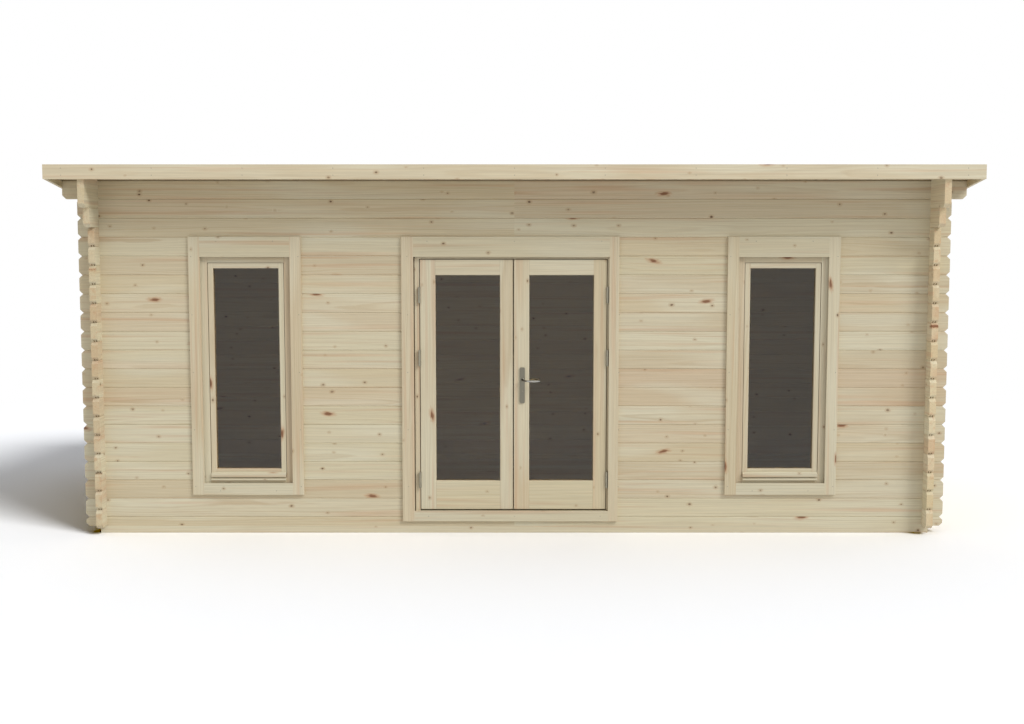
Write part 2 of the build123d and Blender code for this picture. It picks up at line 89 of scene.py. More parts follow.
def fillRamp(ramp, stops):
    # the first two stops are there already, the others are added
    while len(ramp.color_ramp.elements) < len(stops):
        ramp.color_ramp.elements.new(0.5)
    for element, (place, colour) in zip(ramp.color_ramp.elements, stops):
        element.position = place
        element.color = hexColour(colour)


def growPiece(name, tree, values, base, body):
    # runs a geometry tree on a base mesh and keeps the result as a plain mesh
    holder = bpy.data.objects.new(name, base)
    bpy.context.scene.collection.objects.link(holder)
    modifier = holder.modifiers.new("shape", "NODES")
    modifier.node_group = tree
    for item in tree.interface.items_tree:
        if item.in_out == "INPUT" and item.name in values:
            modifier[item.identifier] = values[item.name]
    graph = bpy.context.evaluated_depsgraph_get()
    made = bpy.data.meshes.new_from_object(holder.evaluated_get(graph))
    holder.modifiers.remove(modifier)
    holder.data = made
    made.name = name
    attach(holder, body)
    print(name, len(made.polygons), "faces")
    return holder


def pointMesh(name, places):
    mesh = bpy.data.meshes.new(name)
    mesh.from_pydata([tuple(p) for p in places], [], [])
    return mesh


def closedMesh(name, points, faces, smooth=False):
    mesh = bpy.data.meshes.new(name)
    mesh.from_pydata(points, [], faces)
    built = bmesh.new()
    built.from_mesh(mesh)
    bmesh.ops.recalc_face_normals(built, faces=built.faces)
    for face in built.faces:
        face.smooth = smooth
    built.to_mesh(mesh)
    built.free()
    return mesh


# wood: one group holds how planed spruce looks, each material gives it the pieces' directions and widths


def makeSpruceGroup():
    look = {
        "ring": 0.0085,  # growth rings are 2 to 4 mm apart, drawn wider so that they show
        "ringBend": 0.014, "bendAtSpike": 0.014, "bendAtKnot": 0.016, "late": (0.25, 0.85), "lateEnds": 0.88,
        "apart": 70.0, "wanderSlow": 0.45, "knotGrit": 75.0, "yearShift": 50.0, "yearWave": 0.6,
        "pithAcross": 0.15, "pithNear": 0.012, "pithFar": 0.10, "wanderUp": 0.09, "wanderIn": 0.06,
        "knotCell": (0.31, 0.105), "knotLong": 0.72, "knotSize": 0.0185, "knotLeast": 0.004,
        "knotRagged": 0.008, "coreEdge": (0.0015, -0.0035), "haloEdge": 0.014,
        "spikeCell": (1.15, 0.125), "spikeLong": 0.35, "spikeLean": 0.20, "spikeRagged": 0.016,
        "redEdge": (0.034, 0.015), "brownEdge": (0.022, 0.013),
        "grainRise": 0.35, "knotRise": 0.4, "rough": (0.60, 0.74), "knotGloss": -0.16, "sawnEnd": "#fbf3e8",
    }
    tints = (
        (0.0, "#c9be9f"), (0.22, "#d0c8ae"), (0.42, "#c6b99d"),
        (0.6, "#cabd9e"), (0.8, "#c7b498"), (1.0, "#cdc3a7"),
    )
    # noises drawn out along the grain: waves in a metre along and across it, and their detail
    noises = {
        "bend": (2.2, 15.0, 3.0), "ragged": (22.0, 110.0, 2.0), "patch": (0.75, 26.0, 2.0),
        "streak": (1.6, 110.0, 3.0), "fibre": (9.0, 380.0, 2.0), "pale": (0.9, 5.0, 1.0),
    }
    tree = bpy.data.node_groups.new("planedSpruceGrain", "ShaderNodeTree")
    addSockets(tree, "INPUT", dict.fromkeys(("Place", "Facing", "Start", "Step"), "Vector"))
    addSockets(tree, "INPUT", dict.fromkeys(("Seed", "Split Below", "Knots", "Spikes", "Painted Light"), "Float"))
    addSockets(tree, "OUTPUT", {"Colour": "Color", "Height": "Float", "Roughness": "Float"})
    given = addNode(tree, "NodeGroupInput").outputs

    # which piece a point is in, and where it is from the middle of that piece
    local = addNode(tree, vectors, minus, {0: given["Place"], 1: given["Start"]})
    share = addNode(tree, vectors, over, {0: local, 1: given["Step"]})
    whole = addNode(tree, vectors, {"operation": "FLOOR"}, {0: share})
    cell, part, size, place, at = (
        addNode(tree, splitter, {}, {0: source})
        for source in (whole, share, given["Step"], given["Place"], local)
    )
    low = addNode(tree, maths, {"operation": "LESS_THAN"}, {0: place.outputs[1], 1: given["Split Below"]})
    column = addNode(tree, maths, times, {0: cell, 1: low})
    piece = addNode(tree, joiner, {}, {0: column, 1: cell.outputs[1], 2: given["Seed"]})
    chance = addNode(tree, "ShaderNodeTexWhiteNoise", {"noise_dimensions": "3D"}, {0: piece})
    chances = addNode(tree, "ShaderNodeSeparateColor", {}, {0: chance.outputs["Color"]})
    middle = addNode(tree, maths, plus, {0: cell.outputs[1], 1: 0.5})
    fromMiddle = addNode(tree, maths, minus, {0: part.outputs[1], 1: middle})
    up = addNode(tree, maths, times, {0: fromMiddle, 1: size.outputs[1]})
    away = addNode(tree, vectors, scaled, {0: chance.outputs["Color"], "Scale": look["apart"]})
    flat = addNode(tree, joiner, {}, {0: at, 1: up, 2: at.outputs[2]})
    shifted = addNode(tree, vectors, plus, {0: flat, 1: away})
    cloud = {}
    for label, (along, across, detail) in noises.items():
        drawn = addNode(tree, vectors, times, {0: shifted, 1: (along, across, across)})
        cloud[label] = addNode(tree, noise, {}, {"Vector": drawn, "Scale": 1.0, "Detail": detail})

    # the pith runs along the piece and wanders a little
    slowPlace = addNode(tree, vectors, times, {0: flat, 1: (look["wanderSlow"], 0.0, 0.0)})
    slowShift = addNode(tree, vectors, plus, {0: slowPlace, 1: away})
    wander = addNode(tree, noise, {}, {"Vector": slowShift, "Scale": 1.0, "Detail": 1.0})
    wanders = addNode(tree, "ShaderNodeSeparateColor", {}, {0: wander.outputs["Color"]})
    pithUp = addNode(tree, ranges, {}, {0: chances, 3: -look["pithAcross"], 4: look["pithAcross"]})
    pithIn = addNode(tree, ranges, {}, {0: chances.outputs[1], 3: look["pithNear"], 4: look["pithFar"]})
    wanderUp = addNode(tree, maths, timesPlus, {0: wanders, 1: look["wanderUp"], 2: pithUp})
    wanderIn = addNode(tree, maths, timesPlus, {0: wanders.outputs[1], 1: look["wanderIn"], 2: pithIn})
    sideways = addNode(tree, maths, minus, {0: up, 1: wanderUp})
    inwards = addNode(tree, maths, minus, {0: at.outputs[2], 1: wanderIn})
    toPith = addNode(tree, joiner, {}, {1: sideways, 2: inwards})
    radius = addNode(tree, vectors, howLong, {0: toPith})

    # knots: one in a cell at most, and its size by chance
    flatVoronoi = {"voronoi_dimensions": "2D"}
    along, across = look["knotCell"]
    knotGrid = addNode(tree, vectors, over, {0: shifted, 1: (along, across, 1.0)})
    cells = addNode(tree, "ShaderNodeTexVoronoi", flatVoronoi, {"Vector": knotGrid, "Scale": 1.0})
    knotChance = addNode(tree, "ShaderNodeSeparateColor", {}, {0: cells.outputs["Color"]})
    offset = addNode(tree, vectors, minus, {0: knotGrid, 1: cells.outputs["Position"]})
    spread = addNode(tree, vectors, times, {0: offset, 1: (along * look["knotLong"], across, 0.0)})
    knotRagged = addNode(tree, noise, {}, {"Vector": shifted, "Scale": look["knotGrit"], "Detail": 2.0})
    knotAway = addNode(tree, vectors, howLong, {0: spread})
    knotEdge = addNode(
        tree, maths, timesPlus, {0: knotRagged, 1: look["knotRagged"], 2: knotAway.outputs["Value"]}
    )
    bigEnough = addNode(tree, maths, minus, {0: knotChance, 1: given["Knots"]})
    darkKnot = addNode(tree, ranges, {}, {0: knotChance.outputs[1], 3: 0.45})
    knotRadius = addNode(tree, maths, timesPlus, {0: bigEnough, 1: look["knotSize"], 2: look["knotLeast"]})
    knotOut = addNode(tree, maths, minus, {0: knotEdge, 1: knotRadius})
    wideCore = addNode(tree, ranges, eased, {0: knotOut, 1: look["coreEdge"][0], 2: look["coreEdge"][1]})
    wideHalo = addNode(tree, ranges, eased, {0: knotOut, 1: look["haloEdge"], 2: 0.0})
    present = addNode(tree, maths, moreThan, {0: bigEnough, 1: 0.0})
    core = addNode(tree, maths, times, {0: wideCore, 1: present})
    halo = addNode(tree, maths, times, {0: wideHalo, 1: present})

    # now and then a branch was sawn along its length: a long slanting knot, red at its rim
    along, across = look["spikeCell"]
    spikeGrid = addNode(tree, vectors, over, {0: shifted, 1: (along, across, 1.0)})
    spikes = addNode(tree, "ShaderNodeTexVoronoi", flatVoronoi, {"Vector": spikeGrid, "Scale": 1.0})
    spikeChance = addNode(tree, "ShaderNodeSeparateColor", {}, {0: spikes.outputs["Color"]})
    spikeOff = addNode(tree, vectors, minus, {0: spikeGrid, 1: spikes.outputs["Position"]})
    spikeAt = addNode(tree, vectors, times, {0: spikeOff, 1: (along, across, 0.0)})
    spikeXy = addNode(tree, splitter, {}, {0: spikeAt})
    lean = addNode(tree, ranges, {}, {0: spikeChance.outputs[1], 3: -look["spikeLean"], 4: look["spikeLean"]})
    leant = addNode(tree, maths, timesPlus, {0: spikeXy, 1: lean, 2: spikeXy.outputs[1]})
    narrow = addNode(tree, maths, times, {0: spikeXy, 1: look["spikeLong"]})
    spikeFlat = addNode(tree, joiner, {}, {0: narrow, 1: leant})
    spikeAway = addNode(tree, vectors, howLong, {0: spikeFlat})
    spikeEdge = addNode(
        tree, maths, timesPlus, {0: cloud["ragged"], 1: look["spikeRagged"], 2: spikeAway.outputs["Value"]}
    )
    spikeHere = addNode(tree, maths, moreThan, {0: spikeChance, 1: given["Spikes"]})
    spiked = []
    for rim, inside in (look["redEdge"], look["brownEdge"]):
        wide = addNode(tree, ranges, eased, {0: spikeEdge, 1: rim, 2: inside})
        spiked.append(addNode(tree, maths, times, {0: wide, 1: spikeHere}))
    spikeRed, spikeBrown = spiked

    # growth rings, bent round the knots
    distance = radius.outputs["Value"]
    wavy = addNode(tree, maths, timesPlus, {0: cloud["bend"], 1: look["ringBend"], 2: distance})
    pushed = addNode(tree, maths, timesPlus, {0: spikeRed, 1: look["bendAtSpike"], 2: wavy})
    ringed = addNode(tree, maths, timesPlus, {0: halo, 1: look["bendAtKnot"], 2: pushed})
    years = addNode(tree, maths, over, {0: ringed, 1: look["ring"]})
    year = addNode(tree, maths, {"operation": "FRACT"}, {0: years})
    darker = addNode(tree, ranges, eased, {0: year, 1: look["late"][0], 2: look["late"][1]})
    paler = addNode(tree, ranges, eased, {0: year, 1: look["lateEnds"], 3: 1.0, 4: 0.0})
    late = addNode(tree, maths, times, {0: darker, 1: paler})
    yearShift = addNode(tree, maths, timesPlus, {0: chances.outputs[2], 1: look["yearShift"], 2: years})
    values = {"W": yearShift, "Scale": look["yearWave"], "Detail": 2.0}
    yearTone = addNode(tree, noise, {"noise_dimensions": "1D"}, values)
    tone = addNode(tree, ranges, {}, {0: yearTone, 1: 0.35, 2: 0.70, 3: 0.15})
    latewood = addNode(tree, maths, times, {0: late, 1: tone})

    # colours, from the piece's own tint to the knots: where each lies, how much there is of it, and its hex
    patches = addNode(tree, ranges, eased, {0: cloud["patch"], 1: 0.52, 2: 0.74})
    pale = addNode(tree, ranges, eased, {0: cloud["pale"], 1: 0.48, 2: 0.66})
    heart = addNode(tree, ranges, eased, {0: ringed, 1: 0.075, 2: 0.02})
    under = (
        (pale, 0.6, "#d2ccb4"), (heart, 0.5, "#c6aa8e"), (patches, 0.48, "#c09c7c"),
        (latewood, 0.32, "#ab9068"),
    )
    upper = (
        (spikeRed, 0.55, "#b07a52"), (spikeBrown, 0.85, "#744a30"), (halo, 0.42, "#ab8d6a"),
        (core, darkKnot, "#5a4029"),
    )
    streakGain = addNode(tree, ranges, {}, {0: cloud["streak"], 1: 0.25, 2: 0.75, 3: 0.92, 4: 1.08})
    fibreGain = addNode(tree, ranges, {}, {0: cloud["fibre"], 1: 0.25, 2: 0.75, 3: 0.96, 4: 1.04})
    gain = addNode(tree, maths, times, {0: streakGain, 1: fibreGain})
    tint = addNode(tree, "ShaderNodeValToRGB", {}, {0: chances.outputs[2]})
    fillRamp(tint, tints)
    colour = tint.outputs[0]
    for layers in (under, upper):
        for where, strength, shade in layers:
            amount = addNode(tree, maths, times, {0: where, 1: strength})
            laid = addNode(tree, mixer, inColour, {0: amount, 6: colour, 7: hexColour(shade)})
            colour = laid.outputs[2]
        if layers is under:
            colour = addNode(tree, vectors, scaled, {0: colour, "Scale": gain}).outputs[0]

    # sawn ends take in more light, and the knots are smoother and stand out a little
    facing = addNode(tree, splitter, {}, {0: given["Facing"]})
    endOn = addNode(tree, maths, unsigned, {0: facing})
    end = addNode(tree, ranges, eased, {0: endOn, 1: 0.6, 2: 0.9})
    multiply = {"data_type": "RGBA", "blend_type": "MULTIPLY"}
    ends = addNode(tree, mixer, multiply, {0: end, 6: colour, 7: hexColour(look["sawnEnd"])})
    grainRise = addNode(tree, maths, timesPlus, {0: latewood, 1: look["grainRise"], 2: cloud["fibre"]})
    rise = addNode(tree, maths, timesPlus, {0: core, 1: look["knotRise"], 2: grainRise})
    dull = addNode(
        tree, ranges, {}, {0: cloud["fibre"], 1: 0.25, 2: 0.75, 3: look["rough"][0], 4: look["rough"][1]}
    )
    rough = addNode(tree, maths, timesPlus, {0: core, 1: look["knotGloss"], 2: dull})
    # painted light: the colour is scaled by a gain that each material gives, which draws some pieces brighter
    # or darker than others of the same wood
    paintedLightColour = addNode(tree, vectors, scaled, {0: ends.outputs[2], "Scale": given["Painted Light"]})
    addNode(tree, "NodeGroupOutput", {}, {0: paintedLightColour, 1: rise, 2: rough})
    return tree


spruceGrain = makeSpruceGroup()


def newMaterial(name):
    material = bpy.data.materials.new(name)
    material.use_nodes = True
    material.node_tree.nodes.clear()
    return material, material.node_tree


def grainPlace(tree, along, slope=0.0):
    # turns object coordinates and the face's direction to grain, across and through
    coords = addNode(tree, "ShaderNodeTexCoord")
    place = addNode(tree, splitter, {}, {0: coords.outputs["Object"]})
    facing = addNode(tree, splitter, {}, {0: coords.outputs["Normal"]})
    spots = list(place.outputs)
    if slope:
        spots[2] = addNode(tree, maths, timesPlus, {0: spots[1], 1: slope, 2: spots[2]})
    order = {"X": (0, 2, 1), "Y": (1, 2, 0), "Z": (2, 0, 1), "flatX": (0, 1, 2), "flatY": (1, 0, 2)}[along]
    placed = addNode(tree, joiner, {}, {i: spots[n] for i, n in enumerate(order)})
    faced = addNode(tree, joiner, {}, {i: facing.outputs[n] for i, n in enumerate(order)})
    return placed, faced


def spruceNode(
    tree, along, start, step, seed, splitBelow=-9.0, knots=0.56, spikes=0.84, slope=0.0, tone=1.0
):
    placed, faced = grainPlace(tree, along, slope)
    return addNode(
        tree, "ShaderNodeGroup", {"node_tree": spruceGrain},
        {"Place": placed, "Facing": faced, "Start": start, "Step": step, "Seed": seed,
         "Split Below": splitBelow, "Knots": knots, "Spikes": spikes, "Painted Light": tone},
    )


def finishSurface(tree, colour, rough, height, relief, more):
    # relief is how strong the bumps are and how deep, in metres
    values = {"Strength": relief[0], "Distance": relief[1], "Height": height}
    bump = addNode(tree, "ShaderNodeBump", {}, values)
    values = {"Base Color": colour, "Roughness": rough, "Normal": bump, **more}
    surface = addNode(tree, "ShaderNodeBsdfPrincipled", {}, values)
    addNode(tree, "ShaderNodeOutputMaterial", {}, {"Surface": surface})


def finishWood(tree, colour, height, rough):
    finishSurface(tree, colour, rough, height, (0.5, 0.0005), {"IOR": 1.45, "Specular IOR Level": 0.35})


def makeSpruce(name, along, start, step, seed, **more):
    # planed spruce left bare: pale, matt, with soft rings and brown knots
    material, tree = newMaterial(name)
    grain = spruceNode(tree, along, start, step, seed, **more)
    finishWood(tree, grain.outputs["Colour"], grain.outputs["Height"], grain.outputs["Roughness"])
    return material


def makeFramedSpruce(name, between, centre, half, wide, high, seed):
    # glued frames, two of them beside a middle: upright stiles with level rails between
    material, tree = newMaterial(name)
    stiles = spruceNode(tree, "Z", (0.0, between, wallFace), (9.0, wide, 1.0), seed, knots=0.62)
    rails = spruceNode(tree, "X", (-9.0, 0.0, wallFace), (18.0, high, 1.0), seed + 3.0, knots=0.62)
    coords = addNode(tree, "ShaderNodeTexCoord")
    place = addNode(tree, splitter, {}, {0: coords.outputs["Object"]})
    moved = addNode(tree, maths, minus, {0: place, 1: between})
    folded = addNode(tree, maths, unsigned, {0: moved})
    fromCentre = addNode(tree, maths, minus, {0: folded, 1: centre})
    aside = addNode(tree, maths, unsigned, {0: fromCentre})
    isRail = addNode(tree, maths, {"operation": "LESS_THAN"}, {0: aside, 1: half})
    toJoint = addNode(tree, maths, minus, {0: aside, 1: half})
    nearJoint = addNode(tree, maths, unsigned, {0: toJoint})
    # the glued joint is a hair line, drawn 1.6 mm wide
    joint = addNode(tree, ranges, {}, {0: nearJoint, 1: 0.0016, 2: 0.0003, 4: 0.35})
    mixed = [addNode(tree, mixer, inColour, {0: isRail, 6: stiles.outputs[0], 7: rails.outputs[0]})]
    for out in (1, 2):
        mixed.append(addNode(tree, mixer, {}, {0: isRail, 2: stiles.outputs[out], 3: rails.outputs[out]}))
    lined = addNode(tree, mixer, inColour, {0: joint, 6: mixed[0].outputs[2], 7: hexColour("#7d6a4c")})
    finishWood(tree, lined.outputs[2], mixed[1].outputs[0], mixed[2].outputs[0])
    return material


def makeGlass(name):
    # clear float glass: polished by the bath it was cast on, a little warm from what it shows
    material, tree = newMaterial(name)
    pane = addNode(
        tree, "ShaderNodeBsdfPrincipled", {},
        {"Base Color": hexColour("#dbd0ba"), "Roughness": 0.0, "IOR": 1.45,
         "Specular IOR Level": 0.05, "Transmission Weight": 1.0},
    )
    clear = addNode(tree, "ShaderNodeBsdfTransparent", {}, {"Color": hexColour("#c4ae8c")})
    rays = addNode(tree, "ShaderNodeLightPath")
    lets = addNode(tree, "ShaderNodeMixShader", {}, {0: rays.outputs["Is Shadow Ray"], 1: pane, 2: clear})
    addNode(tree, "ShaderNodeOutputMaterial", {}, {"Surface": lets})
    return material


def makeSteel(name, colour, rough, brush, shift):
    # brushed steel: fine lines along one way stretch its highlights
    material, tree = newMaterial(name)
    coords = addNode(tree, "ShaderNodeTexCoord")
    values = {"Vector": coords.outputs["Object"], "Scale": brush, "Location": shift}
    lines = addNode(tree, "ShaderNodeMapping", {}, values)
    brushed = addNode(tree, noise, {}, {"Vector": lines, "Scale": 1.0, "Detail": 3.0})
    cloud = addNode(tree, noise, {}, {"Vector": coords.outputs["Object"], "Scale": 35.0, "Detail": 2.0})
    both = addNode(tree, maths, timesPlus, {0: cloud, 1: 0.5, 2: brushed})
    dull = addNode(tree, ranges, {}, {0: both, 1: 0.4, 2: 1.1, 3: rough - 0.07, 4: rough + 0.09})
    gain = addNode(tree, ranges, {}, {0: both, 1: 0.4, 2: 1.1, 3: 0.90, 4: 1.08})
    tone = addNode(tree, vectors, scaled, {0: hexColour(colour)[:3], "Scale": gain})
    finishSurface(tree, tone, dull, brushed, (0.25, 0.00008), {"Metallic": 1.0})
    return material


def makeFelt(name):
    # bitumen felt rolled with slate granules: charcoal, rough, with a light sparkle
    granules = 260.0  # a metre; granules of 1 mm, drawn at 3.8 mm so that they show
    material, tree = newMaterial(name)
    coords = addNode(tree, "ShaderNodeTexCoord")
    values = {"Vector": coords.outputs["Object"], "Scale": granules}
    grains = addNode(tree, "ShaderNodeTexVoronoi", {}, values)
    weather = addNode(tree, noise, {}, {"Vector": coords.outputs["Object"], "Scale": 1.7, "Detail": 6.0})
    picks = addNode(tree, "ShaderNodeSeparateColor", {}, {0: grains.outputs["Color"]})
    tone = addNode(tree, "ShaderNodeValToRGB", {}, {0: picks})
    greys = ((0.0, "#2c2e30"), (0.35, "#3b3d3f"), (0.7, "#4b4d4f"), (0.93, "#5c5f60"), (1.0, "#85878a"))
    fillRamp(tone, greys)
    fade = addNode(tree, ranges, {}, {0: weather, 1: 0.3, 2: 0.7, 3: 0.82, 4: 1.12})
    faded = addNode(tree, vectors, scaled, {0: tone, "Scale": fade})
    finishSurface(tree, faded, 0.9, grains.outputs["Distance"], (0.7, 0.001), {"Specular IOR Level": 0.3})
    return material


def makeGrooveShadeWood(name):
    # painted shade: the dark slots at the ends of the tongues' grooves, end grain coloured as if deep in
    # shade
    material, tree = newMaterial(name)
    coords = addNode(tree, "ShaderNodeTexCoord")
    fibres = addNode(tree, noise, {}, {"Vector": coords.outputs["Object"], "Scale": 240.0, "Detail": 2.0})
    tone = addNode(tree, "ShaderNodeValToRGB", {}, {0: fibres})
    fillRamp(tone, ((0.3, "#57442a"), (0.7, "#7d6645")))
    finishSurface(tree, tone, 0.85, fibres, (0.4, 0.0003), {})
    return material


def makeEaveShadowPaint(name):
    # painted shadow: a dull dark brown strip with fine pores, standing in for the shadow in the joint between
    # the top log and the roof boards
    pores = 320.0  # a metre; pores of 1 mm, drawn at 3 mm so that they show
    material, tree = newMaterial(name)
    coords = addNode(tree, "ShaderNodeTexCoord")
    cells = addNode(tree, "ShaderNodeTexVoronoi", {}, {"Vector": coords.outputs["Object"], "Scale": pores})
    tone = addNode(tree, "ShaderNodeValToRGB", {}, {0: cells.outputs["Distance"]})
    fillRamp(tone, ((0.1, "#75684f"), (0.6, "#8f8064")))
    finishSurface(tree, tone, 0.95, cells.outputs["Distance"], (0.5, 0.0004), {})
    return material


def dress(material, names):
    for name in names.split():
        for place in nodes[name].material_slots:
            place.material = material
    return material


# planed spruce: which way the grain runs, where the first piece starts and how far it is to the next, along,
# across and through (9 or more means one piece all along that way), what else is set, and the CAD nodes of it
course = 0.130
spruces = {
    "planedSpruceFrontLogs": (
        "X", (0.0, 0.113, wallFace), (9.0, course, 1.0), {"splitBelow": 1.93},
        "front_wall_left front_wall_right front_wall_over_door front_wall_under_door front_top_log"),
    "planedSpruceBackLogs": ("X", (-9.0, 0.113, 1.406), (18.0, course, 1.0), {}, "back_wall back_top_log"),
    "planedSpruceLeftLogs": (
        "Y", (-9.0, 0.048, -2.90), (18.0, course, 1.0), {},
        "side_wall_left lower_corbel_log_left upper_corbel_log_left"),
    # painted light: the right-hand logs are drawn 1.15 times as bright as the left-hand ones
    "planedSpruceRightLogs": (
        "Y", (-9.0, 0.048, 2.855), (18.0, course, 1.0), {"tone": 1.15},
        "side_wall_right lower_corbel_log_right upper_corbel_log_right"),
    "sawnSpruceBearers": ("X", (-9.0, -0.01, -1.4), (18.0, 0.2, 1.0), {}, "foundation_bearers"),
    "sawnSpruceJoists": ("Y", (-9.0, -0.01, 0.0), (18.0, 0.2, 1.0), {}, "floor_joists"),
    "planedSprucePurlins": ("X", (-9.0, 0.0, -1.0), (18.0, 0.2, 1.0), {"slope": roofSlope}, "roof_purlins"),
    "planedSpruceFloor": (
        "flatX", (-9.0, -1.304, 0.0), (18.0, 0.09679, 1.0), {"knots": 0.55}, "floor_boards"),
    "planedSpruceRoof": ("flatY", (-9.0, -3.1, 2.4), (18.0, 0.09538, 1.0), {"knots": 0.55}, "roof_deck"),
    # painted light: the front fascia is drawn 1.10 times as bright as the back one
    "planedSpruceFascia": (
        "X", (-9.0, 2.3, -1.65), (18.0, 0.3, 1.0), {"knots": 0.5, "tone": 1.10}, "fascia_front"),
    "planedSpruceBackFascia": ("X", (-9.0, 1.9, 1.6), (18.0, 0.3, 1.0), {"knots": 0.5}, "fascia_back"),
    # painted light: the barge boards are drawn 1.05 times as bright
    "planedSpruceBarge": (
        "Y", (-9.0, 1.7, -3.12), (18.0, 0.9, 3.0), {"slope": roofSlope, "tone": 1.05},
        "barge_board_left barge_board_right"),
    "planedSpruceUprightTrim": (
        "Z", (-9.0, -3.0, -1.37), (18.0, 0.35, 1.0), {"knots": 0.6}, "door_trim_sides window_trim_sides"),
    # painted shade: the level trims are drawn 0.95 times as bright as the upright ones
    "planedSpruceLevelTrim": (
        "X", (-3.0, -0.3, -1.37), (2.0, 1.1, 1.0), {"knots": 0.55, "tone": 0.95},
        "door_trim_head door_trim_sill window_trim_heads window_trim_sills window_weather_bars"),
    "planedSpruceJamb": ("Z", (-9.0, -0.75, -1.35), (18.0, 0.75, 1.0), {"knots": 0.65}, "door_jambs"),
    "planedSpruceHead": (
        "X", (-9.0, -0.1, -1.35), (18.0, 1.0, 1.0), {"knots": 0.6}, "door_head door_threshold"),
}
woods = {}
for seed, (name, (along, start, step, more, names)) in enumerate(spruces.items(), 1):
    woods[name] = dress(makeSpruce(name, along, start, step, float(seed), **more), names)
# glued frames: the middle between the two, each one's middle from there, half the width between its stiles,
# the width and height of a piece, a seed, and the CAD nodes
framed = {
    "gluedSpruceLeaf": (0.0015, 0.324, 0.2225, 0.26, 1.0, 20.0, "door_leaf_left door_leaf_right"),
    "gluedSpruceSash": (0.0, 1.855, 0.225, 0.4638, 1.2, 30.0, "window_sashes"),
    "gluedSpruceFrame": (0.0, 1.855, 0.2645, 0.4638, 1.2, 40.0, "window_frames"),
}
for name, (*values, names) in framed.items():
    dress(makeFramedSpruce(name, *values), names)
dress(makeGlass("clearFloatGlass"), "door_glass_left door_glass_right window_glass")
hingeSteel = makeSteel("zincPlatedSteel", "#9a9585", 0.38, (60, 60, 60), (0, 0, 0))
handleSteel = makeSteel("satinStainlessSteel", "#7e7a6d", 0.34, (420, 420, 9), (3, 1, 4))
leverSteel = makeSteel("polishedStainlessSteel", "#a5a39c", 0.26, (12, 420, 420), (5, 2, 1))
nailSteel = makeSteel("zincPlatedNailSteel", "#8f8b80", 0.42, (90, 90, 90), (7, 3, 2))
# painted shade: a dark steel for the screw slots, the keyhole and the lever's neck, which stands in for the
# shade in the slots, in the hole and on the neck
darkShadeSteel = makeSteel("paintedShadeSteel", "#4d4a44", 0.40, (90, 90, 90), (1, 6, 2))
dress(hingeSteel, "frame_hinges_left frame_hinges_right leaf_hinges_left leaf_hinges_right")
dress(handleSteel, "handle_plates")
dress(leverSteel, "door_lever")
feltGrey = dress(makeFelt("granuleRoofFelt"), "roof_felt")
grooveShadeWood, eaveShadowPaint = makeGrooveShadeWood("paintedGrooveShade"), makeEaveShadowPaint("paintedEaveShadow")
print("materials made")


# boards: a chamfered board is made once and repeated


def boardMesh(name, length, width, thick, chamfer, along):
    # a board with its long edges chamfered, at the origin, lying flat
    half, top, cut = width / 2, thick / 2, chamfer
    outline = [
        (-half, -top + cut), (-half + cut, -top), (half - cut, -top), (half, -top + cut),
        (half, top - cut), (half - cut, top), (-half + cut, top), (-half, top - cut),
    ]
    points = [(x, y, z) for x in (-length / 2, length / 2) for y, z in outline]
    if along == "Y":
        points = [(-y, x, z) for x, y, z in points]
    count = len(outline)
    faces = [(i, (i + 1) % count, count + (i + 1) % count, count + i) for i in range(count)]
    faces += [tuple(reversed(range(count))), tuple(range(count, 2 * count))]
    return closedMesh(name, points, faces)


